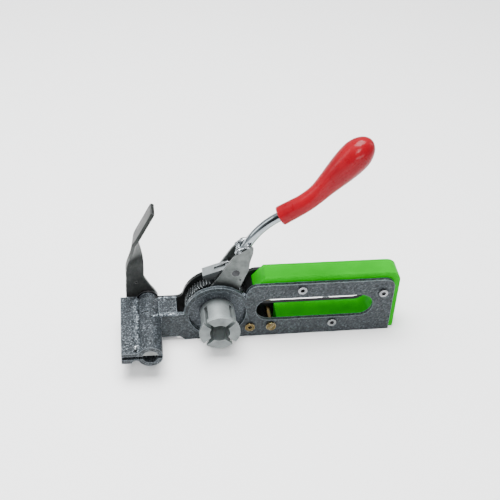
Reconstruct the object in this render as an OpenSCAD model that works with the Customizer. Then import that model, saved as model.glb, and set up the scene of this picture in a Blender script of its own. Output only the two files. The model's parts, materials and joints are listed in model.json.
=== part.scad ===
// Ratchet strapping tensioner for steel band: a side-plate frame with a hand grip, a slotted windlass
// turned by a ratchet lever, and a nose with a rotating cutter.
// X runs along the tool towards the hand grip, Z is up, and Y is the windlass axis, away from the user.
// The origin is on the windlass axis, at the middle of the slotted drum.

/* [Frame] */
// Thickness of each side plate
plate_t = 3; // [2.5:0.5:4]
// Gap between the two side plates
plate_gap = 16; // [16:0.5:18]
// Height of the plates' top edge above the windlass axis
plate_top = 24.9; // [24:0.1:26]
// Depth of the plates' bottom edge below the windlass axis
plate_bottom = 24.6; // [24:0.1:26]
// Distance from the windlass axis to the plates' rear end
plate_end = 132.3; // [128:0.5:140]
// Radius of the round head of the plates
head_r = 24.8; // [24.6:0.1:26]
// Height of the arm's top edge above the windlass axis
arm_top = 1; // [0:0.5:2]
// Depth of the arm's bottom edge below the windlass axis
arm_bottom = 21; // [19:0.5:22]

/* [Hand grip] */
// Width of the finger slot
slot_h = 21; // [19:0.5:22]
// Distance from the windlass axis to the slot's near end
slot_start = 28.7; // [28:0.1:30]
// Distance from the windlass axis to the slot's far end
slot_end = 117.4; // [110:0.2:119]
// Height of the slot's centre line above the windlass axis
slot_z = 1.2; // [0.5:0.1:2]
// How far the plastic stands above the plates' top edge
grip_rise = 4.7; // [2:0.1:6]
// How far the plastic stands past the plates' rear end
grip_overhang = 4.2; // [2:0.1:6]

/* [Windlass] */
// Length of the slotted drum in front of the frame
drum_len = 20.8; // [18:0.2:24]
// Radius of the drum
drum_r = 12.9; // [12:0.1:13.5]
// Radius of the lip at the drum's free end
lip_r = 14.9; // [14:0.1:16]
// Length of the lip
lip_len = 2.6; // [2:0.1:4]
// Radius of the bore in the drum
drum_bore_r = 7.5; // [6.5:0.1:8]
// Width of the two crossed band slots
band_slot_w = 3.2; // [2.6:0.1:3.6]
// Radius of the windlass shaft
shaft_r = 7; // [6:0.1:7.2]

/* [Ratchet] */
// Number of teeth on the ratchet gear
teeth = 60; // [60:30:60]
// Radius to the tips of the teeth
gear_tip_r = 23.4; // [23:0.1:23.6]
// Depth of a tooth
tooth_depth = 1.6; // [1.2:0.1:1.8]
// Width of the gear
gear_w = 7.4; // [6:0.1:8]

/* [Ratchet lever] */
// Radius of the lever rod
rod_r = 3.5; // [3:0.1:4]
// Thickness of a yoke cheek
cheek_t = 1.8; // [1.5:0.1:2]
// Radius of the soft grip at its open end
sleeve_r = 7.1; // [6.8:0.1:8]
// Radius of the soft grip's bulb
bulb_r = 10.9; // [9.5:0.1:11.2]

/* [Nose and cutter] */
// Distance of the cutter axis in front of the windlass axis
nose_x = 50.6; // [50:0.1:52]
// Depth of the cutter axis below the windlass axis
nose_z = 3.6; // [3:0.1:4]
// Radius of the cutter barrel
barrel_r = 9; // [8.6:0.1:9.4]
// Radius of the cutter shaft
cutter_r = 5.5; // [5:0.1:5.8]
// How far the nose stands in front of the front plate
nose_reach = 37; // [30:0.5:40]
// Height of the slit that the band runs through
band_slit_h = 3; // [2:0.1:3.2]
// Thickness of the cutter lever
cutter_lever_t = 3; // [2.5:0.1:4]

/* [Hidden] */
$fn = 96;

// clearances
run_gap = 0.08;             // radial play of a shaft in its bush
side_gap = 0.3;             // play between parts that move past each other
hole_gap = 0.1;             // radial play of a screw in its hole

// stations along the windlass axis, front to back
front_y = drum_len / 2;
front_in_y = front_y + plate_t;
rear_in_y = front_in_y + plate_gap;
rear_y = rear_in_y + plate_t;
bearing_t = 2.2;
bearing_back_y = front_in_y + bearing_t;
cheek_front_y = bearing_back_y + side_gap;
cheek_rear_y = rear_in_y - side_gap - cheek_t;
lever_y = (cheek_front_y + cheek_rear_y + cheek_t) / 2;
gear_y = lever_y - gear_w / 2;
pawl_w = cheek_rear_y - cheek_front_y - cheek_t - 2 * side_gap;
pawl_y = lever_y - pawl_w / 2;

// frame outline
head_opening_r = 21.4;
grip_corner_r = 9;
grip_root_x = 21;
belly_x = -27;
arm_x = -48;
arm_foot_x = -nose_x + barrel_r - 0.4;
web_end_x = -29.6;
neck_r = 7.2;
neck_step_y = front_y + 15.5;
nose_front_y = front_y - nose_reach;
nose_back_y = rear_y + 1;
slit_back_y = front_y - 1.4;
slit_top_z = -2.6;

// bearings and the windlass's rear end
bush_r = 9.5;
rear_ring_r = 14.5;
rear_ring_y = rear_y + 4;
clip_y = rear_ring_y + 1.4;
clip_t = 1.2;
clip_groove_r = shaft_r - 0.6;
key_w = 3;
key_h = 3;

// fasteners: [x, z] of each
handle_screw_at = [[62.3, 19.6], [124, 12.9], [87.2, -14.1]];
holding_pivot = [24.6, -14.5];
post_at = [40.6, -14.6];
m4_r = 2;
m5_r = 2.5;
nut_h = 3.2;

// cutter shaft and its retaining key
cutter_at = [-nose_x, -nose_z];
retainer_y = front_y + 0.2;
retainer_t = 1.5;
retainer_w = 6;
retainer_x = -nose_x - 5.6;
groove_r = 4.6;
tang_y = nose_back_y + 2.3;
tang_flats = 7.6;
lever_back_y = tang_y + cutter_lever_t;
cutter_thread_r = 2.4;
cutter_thread_len = 9;
cutter_washer_t = 1.2;

// bar of the cutter lever: it twists a quarter turn, then leans back towards the windlass
lever_mid_y = tang_y + cutter_lever_t / 2;
blade_x = -59.4;
twist_from = 17;
lean_from = 51;
lean = 27;
paddle_len = 31;
bar_w = 13.4;
paddle_w = 13.6;
bar_t = cutter_lever_t - 0.04;
bar_root = -1.5;
bar_len = lean_from - twist_from + paddle_len;

// ratchet
gear_root_r = gear_tip_r - tooth_depth;
pitch = 360 / teeth;
drive_pivot = [13.4, 33.6];
drive_face_angle = 102;
hold_face_angle = 6;
pawl_back_off = 1.2;        // degrees between a pawl tip and the tooth face that it drives
drive_pin_r = 3;
cheek_ring_r = 14.9;
bridge_h = 8;

// lever rod: start, heading in degrees, then straight, right-hand arc, straight, left-hand arc, straight
rod_start = [18, 48];
rod_heading = 62;
rod_run_1 = 10;
rod_bend_r_1 = 56;
rod_turn_1 = 30;
rod_run_2 = 16;
rod_bend_r_2 = 60;
rod_turn_2 = 20;
rod_run_3 = 42.5;
bend_len_1 = rod_bend_r_1 * rod_turn_1 * PI / 180;
bend_len_2 = rod_bend_r_2 * rod_turn_2 * PI / 180;
grip_from = rod_run_1 + bend_len_1 + 1.5;
bend_end_1 = rod_run_1 + bend_len_1;
bend_start_2 = bend_end_1 + rod_run_2;
bend_end_2 = bend_start_2 + bend_len_2;
rod_len = bend_end_2 + rod_run_3;
grip_to = rod_len + 7;
waist_r = 6.7;

// ---------------------------------------------------------------- helpers

function polar(r, a) = [r * cos(a), r * sin(a)];

// Extrudes a shape drawn in [x, z] from y0 to y1
module along_y(y0, y1) {
    translate([0, y1, 0])
        rotate([90, 0, 0])
            linear_extrude(y1 - y0)
                children();
}

// Cylinder along Y at [x, z]
module rod_y(at, r, y0, y1) {
    translate([at[0], y0, at[1]])
        rotate([-90, 0, 0])
            cylinder(r = r, h = y1 - y0);
}

// Hexagonal prism along Y at [x, z], with its size across flats
module hex_y(at, flats, y0, y1) {
    translate([at[0], y0, at[1]])
        rotate([-90, 0, 0])
            cylinder(r = flats / sqrt(3), h = y1 - y0, $fn = 6);
}

module ring_y(at, r, bore, y0, y1) {
    difference() {
        rod_y(at, r, y0, y1);
        rod_y(at, bore, y0 - 1, y1 + 1);
    }
}

// Closed skin through a chain of rings with the same number of points, capped at both ends
module ring_chain(rings) {
    sides = len(rings[0]);
    last = len(rings) - 1;
    sides_faces = [for (i = [0 : last - 1], j = [0 : sides - 1], half = [0, 1])
        let (a = i * sides + j, b = i * sides + (j + 1) % sides)
        half == 0 ? [a, b, b + sides] : [a, b + sides, a + sides]];
    first_cap = [for (j = [sides - 1 : -1 : 0]) j];
    last_cap = [for (j = [0 : sides - 1]) last * sides + j];
    polyhedron([for (ring = rings, p = ring) p], concat([first_cap], sides_faces, [last_cap]));
}

function unit(v) = v / norm(v);
// Ring of radius r round point c, square to direction t, where t is never along Y
function wire_ring(c, t, r, sides) =
    let (n = unit(cross(t, [0, 1, 0])), b = cross(n, t))
    [for (k = [0 : sides - 1]) c + r * (cos(360 * k / sides) * n + sin(360 * k / sides) * b)];

// Round wire of radius r along a list of points
module wire(points, r, sides = 8) {
    last = len(points) - 1;
    ring_chain([for (i = [0 : last])
        wire_ring(points[i], unit(points[min(i + 1, last)] - points[max(i - 1, 0)]), r, sides)]);
}

// Turns of a coil round a Y axis at [x, z], from angle a0 by sweep degrees
function coil(at, r, y0, rise, a0, sweep, step = 24) =
    [for (k = [0 : sweep / step])
        [at[0] + r * cos(a0 + k * step), y0 + rise * k * step / sweep, at[1] + r * sin(a0 + k * step)]];

// ---------------------------------------------------------------- frame

module finger_slot(y0, y1) {
    r = slot_h / 2;
    rod_y([slot_start + r, slot_z], r, y0, y1);
    rod_y([slot_end - r, slot_z], r, y0, y1);
    translate([slot_start + r, y0, slot_z - r])
        cube([slot_end - slot_start - slot_h, y1 - y0, slot_h]);
}

module rounded_top_rect(x0, z0, x1, z1, r0, r1) {
    union() {
        translate([x0, z0]) square([x1 - x0, z1 - z0 - max(r0, r1)]);
        translate([x0 + r0, z0]) square([x1 - x0 - r0 - r1, z1 - z0]);
        translate([x0 + r0, z1 - r0]) circle(r0);
        translate([x1 - r1, z1 - r1]) circle(r1);
        translate([x1 - max(r0, r1), z0]) square([max(r0, r1), z1 - z0 - r1]);
    }
}

// Outline of a side plate, with its round head, the arm to the nose and the hand grip
module plate_outline(nose_cut_r) {
    end_corner_r = 7;
    difference() {
        union() {
            intersection() {
                circle(head_r);
                translate([-head_r, -plate_bottom]) square([2 * head_r, plate_bottom + head_r]);
            }
            translate([belly_x + 3, -plate_bottom]) square([grip_root_x - belly_x, plate_bottom]);
            polygon([[belly_x - 1, -arm_bottom], [belly_x + 3, -plate_bottom], [belly_x + 3.01, 0],
                     [belly_x - 1, 0]]);
            rounded_top_rect(grip_root_x, -plate_bottom, plate_end, plate_top, grip_corner_r, end_corner_r);
            translate([arm_foot_x, -arm_bottom]) square([-arm_foot_x - 20, arm_bottom + arm_top]);
            translate([arm_x, -nose_z]) square([10, nose_z + arm_top]);
        }
        translate(cutter_at) circle(nose_cut_r);
    }
}

module plate_holes(y0, y1) {
    finger_slot(y0, y1);
    for (at = handle_screw_at) rod_y(at, m4_r + hole_gap, y0, y1);
    rod_y(holding_pivot, m5_r + hole_gap, y0, y1);
    rod_y(post_at, m5_r + hole_gap, y0, y1);
}

module front_side_plate() {
    color("dimgray")
        difference() {
            along_y(front_y, front_in_y) plate_outline(barrel_r);
            rod_y([0, 0], head_opening_r, front_y - 1, front_in_y + 1);
            plate_holes(front_y - 1, front_in_y + 1);
        }
}

// Concave corner of radius r between the round head and the arm
module head_fillet(r) {
    c = [-sqrt(pow(head_r + r, 2) - pow(arm_top + r, 2)), arm_top + r];
    inner_x = -20;
    polygon(concat([for (a = [272 : 15 : 347]) c + polar(r, a)], [[inner_x, c[1]], [inner_x, 0], [c[0], 0]]));
}

module rear_side_plate() {
    color("dimgray")
        difference() {
            union() {
                along_y(rear_in_y, rear_y) plate_outline(neck_r);
                along_y(rear_in_y, rear_y) head_fillet(6);
            }
            rod_y([0, 0], bush_r, rear_in_y - 1, rear_y + 1);
            plate_holes(rear_in_y - 1, rear_y + 1);
        }
}

// Block between the plates at the root of the nose
module arm_web() {
    color("gray")
        difference() {
            translate([arm_x, front_in_y, -arm_bottom])
                cube([web_end_x - arm_x, plate_gap, arm_bottom + arm_top]);
            rod_y(cutter_at, barrel_r, front_in_y - 1, neck_step_y);
            rod_y(cutter_at, neck_r, front_in_y, rear_in_y + 1);
            translate([arm_x - 1, front_in_y - 1, -arm_bottom - 1])
                cube([arm_foot_x - arm_x + 1, plate_gap + 2, arm_bottom - nose_z + 1]);
        }
}

module front_bearing_plate() {
    color("gray") ring_y([0, 0], head_opening_r + 1.2, bush_r, front_in_y, bearing_back_y);
}

module front_bush() {
    color("peru") ring_y([0, 0], bush_r, shaft_r + run_gap, front_in_y, bearing_back_y);
}

module rear_bearing_ring() {
    color("dimgray") ring_y([0, 0], rear_ring_r, bush_r, rear_y, rear_ring_y);
}

module rear_bush() {
    color("peru") ring_y([0, 0], bush_r, shaft_r + run_gap, rear_in_y, rear_ring_y);
}

// Moulded plastic body of the hand grip, open towards the ratchet
module handle_body() {
    nose_tip = [26.5, 19.5];
    top_start = [35, plate_top + grip_rise];
    lower_start_x = 45;
    far_x = plate_end + grip_overhang;
    far_corner_r = 8;
    upper_under_z = slot_z + slot_h / 2 - 0.01;
    color("limegreen")
        difference() {
            union() {
                along_y(front_in_y, rear_in_y)
                    polygon([nose_tip, [29, upper_under_z], [60, upper_under_z], [60, top_start[1]],
                             top_start]);
                along_y(front_in_y, rear_in_y)
                    rounded_top_rect(55, -plate_bottom, far_x, top_start[1], 1, far_corner_r);
                translate([lower_start_x, front_in_y, -plate_bottom])
                    cube([20, plate_gap, plate_bottom + slot_z]);
            }
            finger_slot(front_in_y - 1, rear_in_y + 1);
            translate([lower_start_x - 1, front_in_y - 1, slot_z - slot_h / 2])
                cube([20, plate_gap + 2, slot_h]);
            for (at = handle_screw_at) rod_y(at, m4_r + hole_gap, front_in_y - 1, rear_in_y + 1);
        }
}

// ---------------------------------------------------------------- nose

module band_slit() {
    translate([-nose_x - 30, nose_front_y - 1, slit_top_z - band_slit_h])
        cube([60, slit_back_y - nose_front_y + 1, band_slit_h]);
}

module nose_foot() {
    foot_x = -71;
    foot_top = 0.3;
    foot_bottom = -9.2;
    color("dimgray")
        difference() {
            translate([foot_x, nose_front_y, foot_bottom])
                cube([-foot_x - 57, nose_back_y - nose_front_y, foot_top - foot_bottom]);
            rod_y(cutter_at, barrel_r, nose_front_y - 1, nose_back_y + 1);
            rod_y([-60.6, -9.8], 3.2, nose_front_y - 1, nose_back_y + 1);
            band_slit();
        }
}

module cutter_barrel() {
    bore_r = cutter_r + run_gap;
    color("dimgray")
        difference() {
            union() {
                rod_y(cutter_at, barrel_r, nose_front_y, neck_step_y);
                rod_y(cutter_at, neck_r, neck_step_y, nose_back_y);
            }
            rod_y(cutter_at, bore_r, nose_front_y - 1, nose_back_y + 1);
            band_slit();
            translate([retainer_x, retainer_y, -nose_z + groove_r + 0.1])
                cube([retainer_w, retainer_t, barrel_r]);
        }
}

// Flat key through the barrel that keeps the cutter shaft from sliding out
module cutter_retainer() {
    color("darkgray")
        intersection() {
            translate([retainer_x, retainer_y, -nose_z + groove_r + 0.1])
                cube([retainer_w, retainer_t, barrel_r]);
            rod_y(cutter_at, barrel_r - 0.6, retainer_y - 1, retainer_y + retainer_t + 1);
        }
}

// Cutting shaft: a half-round blade in the nose, a square tang for its lever
module cutter_shaft() {
    flat_z = slit_top_z + nose_z;
    blade_back_y = slit_back_y + 0.4;
    color("silver")
        difference() {
            union() {
                rod_y(cutter_at, cutter_r, nose_front_y + 0.5, tang_y);
                translate([-nose_x - tang_flats / 2, tang_y, -nose_z - tang_flats / 2])
                    cube([tang_flats, cutter_lever_t, tang_flats]);
            }
            translate([-nose_x - 10, nose_front_y, flat_z - nose_z - 20])
                cube([20, blade_back_y - nose_front_y, 20]);
            ring_y(cutter_at, cutter_r + 1, groove_r, retainer_y - 0.2, retainer_y + retainer_t + 0.2);
            rod_y(cutter_at, cutter_thread_r, lever_back_y - cutter_thread_len, lever_back_y + 1);
        }
}

module cutter_collar() {
    color("darkgray") ring_y(cutter_at, 8.4, cutter_r, nose_back_y + side_gap, tang_y);
}

// Upper part of the cutter lever: stations up a twisted, leaning bar
function smooth(t) = let (u = max(0, min(1, t))) u * u * (3 - 2 * u);
// Point on the bar's centre line at length s above twist_from
function bar_centre(s) =
    let (up = lean_from - twist_from)
    s <= up ? [blade_x + 0.8 * smooth(s / up), twist_from + s]
            : [blade_x + 0.8 + (s - up) * sin(lean), lean_from + (s - up) * cos(lean)];
function bar_lean(s) = lean * smooth((s - (lean_from - twist_from) + 5) / 10);
function bar_twist(s) = 90 * smooth(s / (lean_from - twist_from + 6));
// Corners of the bar's section at length s: width turns from the XZ plane to the Y axis
function bar_section(s) =
    let (c = bar_centre(s), a = bar_lean(s), q = bar_twist(s),
         w = bar_w - 0.04 + (paddle_w - bar_w) * smooth(s / 40),
         across = [cos(a), 0, -sin(a)], along = [0, 1, 0],
         wide = across * cos(q) + along * sin(q), thin = along * cos(q) - across * sin(q))
    [for (k = [[1, 1], [1, -1], [-1, -1], [-1, 1]])
        [c[0], lever_mid_y, c[1]] + k[0] * w / 2 * wide + k[1] * bar_t / 2 * thin];

module cutter_lever() {
    steps = 22;
    hang_hole_r = 0.9;
    color("darkslategray")
        union() {
            difference() {
                along_y(tang_y, lever_back_y)
                    union() {
                        polygon([[-66.8, -4], [-66.6, 6], [blade_x - bar_w / 2, twist_from],
                                 [blade_x + bar_w / 2, twist_from], [-48.6, 9], [-45.4, 4], [-42.8, -0.6],
                                 [-42.6, -4]]);
                        intersection() {
                            translate([-54.7, -4]) circle(12.1);
                            translate([-70, -20]) square([30, 16.01]);
                        }
                    }
                translate([-nose_x - tang_flats / 2, tang_y - 1, -nose_z - tang_flats / 2])
                    cube([tang_flats, cutter_lever_t + 2, tang_flats]);
                rod_y([-58.7, 12.6], hang_hole_r, tang_y - 1, lever_back_y + 1);
            }
            ring_chain([for (i = [0 : steps]) bar_section(bar_root + (bar_len - bar_root) * i / steps)]);
        }
}

module cutter_washer() {
    color("silver") ring_y(cutter_at, 7, cutter_thread_r, lever_back_y, lever_back_y + cutter_washer_t);
}

module cutter_screw() {
    head_y = lever_back_y + cutter_washer_t;
    color("silver")
        difference() {
            union() {
                rod_y(cutter_at, cutter_thread_r, lever_back_y - cutter_thread_len + 1, head_y);
                rod_y(cutter_at, 4.6, head_y, head_y + 3);
            }
            hex_y(cutter_at, 4, head_y + 1, head_y + 4);
        }
}

// ---------------------------------------------------------------- windlass

module key_seat(extra) {
    translate([-key_w / 2, gear_y - extra, shaft_r - key_h / 2])
        cube([key_w, gear_w + 2 * extra, key_h]);
}

// Drum with two crossed slots, a lip at its free end, and the shaft through the frame
module windlass() {
    drum_back_y = front_in_y - side_gap;
    slot_back_y = drum_back_y - 4.4;
    color("silver")
        difference() {
            union() {
                rod_y([0, 0], lip_r, -front_y, -front_y + lip_len);
                rod_y([0, 0], drum_r, -front_y + lip_len, drum_back_y);
                rod_y([0, 0], shaft_r, drum_back_y, clip_y + clip_t + 1.6);
            }
            rod_y([0, 0], drum_bore_r, -front_y - 1, slot_back_y + 1);
            for (a = [45, -45])
                translate([0, -front_y - 1, 0])
                    rotate([0, a, 0])
                        translate([-lip_r - 1, 0, -band_slot_w / 2])
                            cube([2 * lip_r + 2, slot_back_y + front_y + 1, band_slot_w]);
            key_seat(0);
            ring_y([0, 0], shaft_r + 1, clip_groove_r, clip_y, clip_y + clip_t);
        }
}

module ratchet_gear() {
    color("gray")
        difference() {
            along_y(gear_y, gear_y + gear_w)
                polygon([for (k = [0 : teeth - 1], r = [gear_root_r, gear_tip_r]) polar(r, k * pitch)]);
            rod_y([0, 0], shaft_r, gear_y - 1, gear_y + gear_w + 1);
            key_seat(1);
        }
}

module gear_key() {
    color("dimgray") key_seat(0);
}

module windlass_washer() {
    color("silver") ring_y([0, 0], 11, shaft_r, rear_ring_y + side_gap, clip_y);
}

module windlass_clip() {
    opening = 6;
    color("darkgray")
        difference() {
            ring_y([0, 0], 9.4, clip_groove_r, clip_y, clip_y + clip_t);
            translate([-opening / 2, clip_y - 1, 0])
                cube([opening, clip_t + 2, 12]);
        }
}

// ---------------------------------------------------------------- ratchet lever

module cheek(y0) {
    difference() {
        union() {
            rod_y([0, 0], cheek_ring_r, y0, y0 + cheek_t);
            along_y(y0, y0 + cheek_t)
                polygon([[-12.2, 7.2], [-3.2, 24.1], [10.8, 47.4], [14.2, 51.2], [20, 54.6], [23.6, 57.6],
                         [25.4, 55.6], [25.2, 51], [23.3, 43.5], [22.6, 36], [17, 21], [11, 4], [-2, -1]]);
        }
        rod_y([0, 0], shaft_r + run_gap, y0 - 1, y0 + cheek_t + 1);
        rod_y(drive_pivot, drive_pin_r, y0 - 1, y0 + cheek_t + 1);
        rod_y([16.6, 27.2], 0.7, y0 - 1, y0 + cheek_t + 1);
    }
}

module yoke_front_cheek() {
    color("darkgray") cheek(cheek_front_y);
}

module yoke_rear_cheek() {
    color("darkgray") cheek(cheek_rear_y);
}

// Block that joins the cheeks and holds the rod
module yoke_bridge() {
    inner_y = cheek_front_y + cheek_t;
    color("darkgray")
        difference() {
            translate([rod_start[0], inner_y, rod_start[1]])
                rotate([0, -rod_heading, 0])
                    translate([-1.5, 0, -bridge_h / 2])
                        cube([5, cheek_rear_y - inner_y, bridge_h]);
            translate([rod_start[0], lever_y, rod_start[1]])
                rotate([0, 90 - rod_heading, 0])
                    cylinder(r = rod_r, h = 20);
        }
}

// Heading of the rod at length s from its start, and the point there in [x, z]
function heading(s) =
    s < rod_run_1 ? rod_heading
    : s < bend_end_1 ? rod_heading - (s - rod_run_1) / rod_bend_r_1 * 180 / PI
    : s < bend_start_2 ? rod_heading - rod_turn_1
    : s < bend_end_2 ? rod_heading - rod_turn_1 + (s - bend_start_2) / rod_bend_r_2 * 180 / PI
    : rod_heading - rod_turn_1 + rod_turn_2;
// Step along a right-hand (side = 1) or left-hand (side = -1) bend from point p
function around(p, h0, h1, r, side) = p + side * r * [sin(h0) - sin(h1), cos(h1) - cos(h0)];
function rod_point(s) =
    s <= rod_run_1 ? rod_start + s * polar(1, rod_heading)
    : s <= bend_end_1
    ? around(rod_point(rod_run_1), rod_heading, heading(s), rod_bend_r_1, 1)
    : s <= bend_start_2 ? rod_point(bend_end_1) + (s - bend_end_1) * polar(1, heading(s))
    : s <= bend_end_2
    ? around(rod_point(bend_start_2), rod_heading - rod_turn_1, heading(s), rod_bend_r_2, -1)
    : rod_point(bend_end_2) + (s - bend_end_2) * polar(1, heading(s));

function rod_ring(s, r, sides) =
    let (p = rod_point(s), h = heading(s))
    wire_ring([p[0], lever_y, p[1]], [cos(h), 0, sin(h)], r, sides);

module lever_rod() {
    bend_steps = 10;
    stations = concat(
        [0],
        [for (i = [0 : bend_steps]) rod_run_1 + bend_len_1 * i / bend_steps],
        [for (i = [0 : bend_steps]) bend_start_2 + bend_len_2 * i / bend_steps],
        [rod_len]);
    color("silver") ring_chain([for (s = stations) rod_ring(s, rod_r, 32)]);
}

// Radius of the soft grip at fraction t of its length
function grip_r(t) =
    t < 0.06 ? sleeve_r
    : t < 0.8 ? waist_r + (bulb_r - waist_r) * smooth((t - 0.32) / 0.48)
    : bulb_r * sqrt(max(0.02, 1 - pow((t - 0.8) / 0.2, 2)));

// Dipped plastic sleeve with a bulb at its end and a blind bore for the rod
module lever_grip() {
    sides = 32;
    inner_steps = 16;
    outer_steps = 26;
    inner_r = rod_r + 0.1;
    inner_to = rod_len + 0.3;
    span = grip_to - grip_from;
    color("red")
        ring_chain(concat(
            [for (i = [inner_steps : -1 : 0])
                rod_ring(grip_from + (inner_to - grip_from) * i / inner_steps, inner_r, sides)],
            [for (i = [0 : outer_steps])
                let (t = 1 - pow(1 - i / outer_steps, 1.25))
                rod_ring(grip_from + span * t, grip_r(t), sides)]));
}

// ---------------------------------------------------------------- pawls and springs

// Pawl carried by the yoke, with a flat top and a tooth that pushes the gear
module drive_pawl() {
    tip_a = drive_face_angle - pawl_back_off;
    spring_room = 3.6;
    slit_w = 3;
    body_back = pawl_y + pawl_w;
    color("darkgray")
        difference() {
            union() {
                along_y(pawl_y, body_back)
                    polygon([polar(gear_root_r + 0.62, tip_a), polar(gear_tip_r + 0.4, tip_a - pitch),
                             polar(gear_tip_r + 1.1, 86), [7.5, 27], [8.4, 37.6], [-10.6, 30.9],
                             [-10.2, 27.8], polar(gear_tip_r + 2.2, tip_a + 1)]);
                along_y(pawl_y, body_back - spring_room)
                    union() {
                        translate(drive_pivot) circle(5.3);
                        polygon([[7, 26.6], [14, 28.6], [12, 38.7], [7, 37]]);
                    }
            }
            rod_y(drive_pivot, drive_pin_r + run_gap, pawl_y - 1, body_back + 1);
            translate([-4, lever_y - slit_w / 2, 24])
                rotate([0, -19.5, 0])
                    translate([5, 0, 7.2]) cube([9, slit_w, 6]);
        }
}

module drive_pawl_pin() {
    color("dimgray") rod_y(drive_pivot, drive_pin_r, cheek_front_y, cheek_rear_y + cheek_t);
}

// Torsion spring beside the drive pawl, with one leg on the pawl and one up towards the rod
module drive_pawl_spring() {
    wire_r = 0.45;
    coil_r = 4.1;
    back_y = pawl_y + pawl_w - 0.7;
    front_leg_y = back_y - 2.3;
    turns = coil(drive_pivot, coil_r, front_leg_y, back_y - front_leg_y, 96, 960);
    color("silver")
        wire(concat([[2.8, front_leg_y, 36.4], [8.2, front_leg_y, 38.3]], turns,
                    [[drive_pivot[0] + 3.6, back_y, drive_pivot[1] + 9.5]]), wire_r);
}

module holding_pawl() {
    tip_a = hold_face_angle - pawl_back_off;
    tip = polar(gear_root_r + 0.62, tip_a);
    y0 = gear_y + 0.2;
    y1 = gear_y + gear_w - 0.2;
    color("gray")
        difference() {
            along_y(y0, y1)
                union() {
                    translate(holding_pivot) circle(4.6);
                    polygon([tip, polar(gear_tip_r + 0.35, tip_a - pitch), polar(gear_tip_r + 0.5, -14),
                             [holding_pivot[0] - 4.1, holding_pivot[1] + 1.6],
                             [holding_pivot[0], holding_pivot[1] - 3],
                             [holding_pivot[0] + 4.3, holding_pivot[1] + 1.6], [27.4, -3], [26, 2],
                             polar(gear_tip_r + 1.6, tip_a + 0.6)]);
                }
            rod_y(holding_pivot, m5_r + run_gap, y0 - 1, y1 + 1);
        }
}

// Slotted or socketed screw whose head lies on the front plate
module frame_screw(at, shank_r, head_r, head_h, tail) {
    difference() {
        union() {
            rod_y(at, shank_r, front_y, rear_y + tail);
            rod_y(at, head_r, front_y - head_h, front_y);
        }
        children();
    }
}

module holding_pawl_screw() {
    color("goldenrod")
        frame_screw(holding_pivot, m5_r, 3.8, 1.7, nut_h + 0.8)
            hex_y(holding_pivot, 3, front_y - 3, front_y + 0.4);
}

module spring_post_screw() {
    slot_w = 1.1;
    color("goldenrod")
        frame_screw(post_at, m5_r, 3.8, 1.7, nut_h + 0.8)
            translate([post_at[0], front_y - 1.2, post_at[1]])
                rotate([0, -52, 0])
                    translate([-5, -2, -slot_w / 2]) cube([10, 2, slot_w]);
}

module holding_pawl_spacers() {
    color("goldenrod") {
        ring_y(holding_pivot, 3.9, m5_r, front_in_y, gear_y - 0.2);
        ring_y(holding_pivot, 3.9, m5_r, gear_y + gear_w + 0.2, rear_in_y);
    }
}

// Torsion spring round the front spacer, with one leg on the post and one against the pawl
module holding_pawl_spring() {
    wire_r = 0.4;
    coil_r = 4.7;
    y0 = front_in_y + 0.8;
    y1 = gear_y - 0.9;
    turns = coil(holding_pivot, coil_r, y0, y1 - y0, 96, 984);
    color("silver")
        wire(concat([[post_at[0] + 1, y0, post_at[1] + m5_r + 0.5]], turns,
                    [[holding_pivot[0] + 4.1, y1 + 0.3, holding_pivot[1] + 7.5],
                     [holding_pivot[0] + 3.9, y1 + 2.4, holding_pivot[1] + 10]]), wire_r);
}

module frame_nuts() {
    color("goldenrod")
        for (at = [holding_pivot, post_at])
            difference() {
                hex_y(at, 8, rear_y, rear_y + nut_h);
                rod_y(at, m5_r, rear_y - 1, rear_y + nut_h + 1);
            }
}

module handle_screws() {
    color("silver")
        for (at = handle_screw_at)
            frame_screw(at, m4_r, 3.3, 1.5, nut_h + 0.6)
                hex_y(at, 3.2, front_y - 3, front_y + 0.6);
}

module handle_nuts() {
    color("silver")
        for (at = handle_screw_at)
            difference() {
                hex_y(at, 7, rear_y, rear_y + nut_h);
                rod_y(at, m4_r, rear_y - 1, rear_y + nut_h + 1);
            }
}

front_side_plate();
rear_side_plate();
arm_web();
handle_body();
front_bearing_plate();
front_bush();
rear_bearing_ring();
rear_bush();
nose_foot();
cutter_barrel();
windlass();
ratchet_gear();
gear_key();
windlass_washer();
windlass_clip();
yoke_front_cheek();
yoke_rear_cheek();
yoke_bridge();
lever_rod();
lever_grip();
drive_pawl();
drive_pawl_pin();
drive_pawl_spring();
holding_pawl();
holding_pawl_screw();
holding_pawl_spacers();
holding_pawl_spring();
spring_post_screw();
frame_nuts();
handle_screws();
handle_nuts();
cutter_shaft();
cutter_retainer();
cutter_collar();
cutter_lever();
cutter_washer();
cutter_screw();
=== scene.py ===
"""Looks of a steel-band strapping tensioner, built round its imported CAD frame, in metres."""
import json
import math

import bmesh
import bpy
from mathutils import Matrix, Vector, noise


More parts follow.
